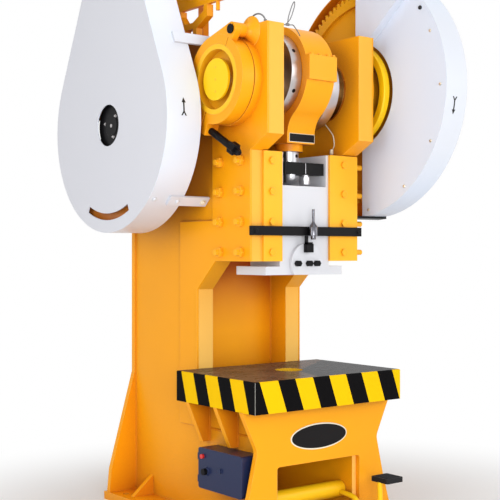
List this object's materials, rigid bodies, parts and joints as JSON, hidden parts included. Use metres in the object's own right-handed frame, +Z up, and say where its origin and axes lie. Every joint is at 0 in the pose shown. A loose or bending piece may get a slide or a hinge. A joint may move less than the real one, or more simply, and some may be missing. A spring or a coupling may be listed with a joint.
{
  "type": "c-frame mechanical power press",
  "caption": "Geared crank power press with a welded C-shaped plate frame, guarded flywheel and gear, band brake, crank-driven slide over a striped bolster, and a foot pedal.",
  "frame": {"origin": "on the floor under the slide's centre line and the crankshaft's middle", "axes": "+Z up, -Y towards the operator at the front, +X to the machine's right seen from the front"},
  "size_m": [1.373, 1.962, 3.455],
  "materials": {
    "frame_paint": "gloss amber enamel",
    "white_paint": "gloss white enamel",
    "yellow_paint": "gloss yellow enamel",
    "gear_paint": "greased ochre enamel",
    "bolster_steel": "ground and oiled, striped edges",
    "machined_steel": "turned and ground",
    "black_steel": "blackened",
    "cap_paint": "gloss white enamel",
    "cast_wheels": "machined rim",
    "bronze": "turned",
    "belt_rubber": "matt",
    "motor_paint": "semi-gloss blue grey",
    "panel_paint": "semi-gloss navy",
    "button_plastic": "gloss black",
    "lamp_plastic": "gloss red",
    "tread_rubber": "ribbed",
    "pipe_metal": "drawn tube"
  },
  "bodies": {
    "frame": {"side_plate_left": "frame_paint", "side_plate_right": "frame_paint", "side_doublers": "frame_paint", "throat_web": "frame_paint", "head_plates": "frame_paint", "rear_plate": "frame_paint", "base_front_plate": "frame_paint", "foot_plates": "frame_paint", "base_ribs": "frame_paint", "bearing_bosses": "frame_paint", "motor_platform": "frame_paint", "motor_forks": "frame_paint", "gear_guard_bars": "frame_paint", "gear_guard_rear": "frame_paint", "brake_shoe_front": "frame_paint", "brake_shoe_rear": "frame_paint", "gib_bolts": "frame_paint", "gib_covers": "frame_paint", "gib_left": "frame_paint", "gib_right": "frame_paint", "belt_guard": "white_paint", "gear_guard": "white_paint", "guard_bars": "white_paint", "bolster_plate": "bolster_steel", "knockout_bar": "black_steel", "knockout_spindle": "black_steel", "brake_stud": "black_steel", "brake_nut": "black_steel", "brake_pin": "black_steel", "countershaft_bearings": "cast_wheels", "crank_bushes": "bronze", "v_belts": "belt_rubber", "motor_housing": "motor_paint", "fan_cover": "motor_paint", "control_box": "panel_paint", "grease_pipes": "pipe_metal"},
    "crank": {"crankshaft": "machined_steel", "bull_gear": "gear_paint", "gear_cap": "machined_steel", "brake_drum": "yellow_paint", "brake_hub_plate": "yellow_paint"},
    "pitman": {"pitman": "frame_paint", "pitman_bush": "bronze", "adjusting_screw": "machined_steel", "screw_clamp": "black_steel"},
    "ram": {"ram": "white_paint", "shank_cap": "cap_paint", "shank_nuts": "black_steel", "set_screw": "black_steel"},
    "countershaft": {"countershaft": "machined_steel", "flywheel": "cast_wheels", "pinion": "gear_paint"},
    "motor_rotor": {"motor_shaft": "machined_steel", "motor_pulley": "cast_wheels"},
    "panel_door": {"panel_door": "panel_paint", "panel_lamp": "lamp_plastic"},
    "panel_button": {"panel_button": "button_plastic"},
    "pedal": {"pedal_shaft": "yellow_paint", "pedal_lever": "yellow_paint", "pedal_pad": "tread_rubber"}
  },
  "joints": [
    {"name": "countershaft_turn", "type": "hinge", "parent": "frame", "child": "countershaft", "pos_m": [0, 0.68203, 2.142], "axis": [-1, 0, 0], "range_deg": [0, 937.8]},
    {"name": "crank_turn", "type": "hinge", "parent": "frame", "child": "crank", "pos_m": [0, 0, 2.332], "axis": [1, 0, 0], "range_deg": [0, 180]},
    {"name": "pitman_swing", "type": "hinge", "parent": "crank", "child": "pitman", "pos_m": [0, 0, 2.387], "axis": [1, 0, 0], "range_deg": [-180, 0]},
    {"name": "ram_slide", "type": "slide", "parent": "frame", "child": "ram", "axis": [0, 0, -1], "range_m": [0, 0.11]},
    {"name": "motor_turn", "type": "hinge", "parent": "frame", "child": "motor_rotor", "pos_m": [-0.6, 0.658, 3.217], "axis": [-1, 0, 0], "range_deg": [0, 4522]},
    {"name": "panel_door_hinge", "type": "hinge", "parent": "frame", "child": "panel_door", "pos_m": [-0.46315, 0.18, 0.3135], "axis": [0, 0, -1], "range_deg": [0, 105]},
    {"name": "panel_button_press", "type": "slide", "parent": "panel_door", "child": "panel_button", "axis": [1, 0, 0], "range_m": [0, 0.005], "stiffness_N_per_m": 400, "springref_m": -0.004},
    {"name": "pedal_press", "type": "hinge", "parent": "frame", "child": "pedal", "pos_m": [0, -0.125, 0.158], "axis": [1, 0, 0], "range_deg": [0, 8], "stiffness_Nm_per_rad": 100, "springref_deg": -17.19}
  ],
  "couplings": [
    {"joint": "crank_turn", "follows": "countershaft_turn", "ratio": 0.19192},
    {"joint": "pitman_swing", "follows": "countershaft_turn", "ratio": -0.19192},
    {"joint": "ram_slide", "follows": "countershaft_turn", "m_per_rad": 0.0067199},
    {"joint": "motor_turn", "follows": "countershaft_turn", "ratio": 4.8214}
  ]
}
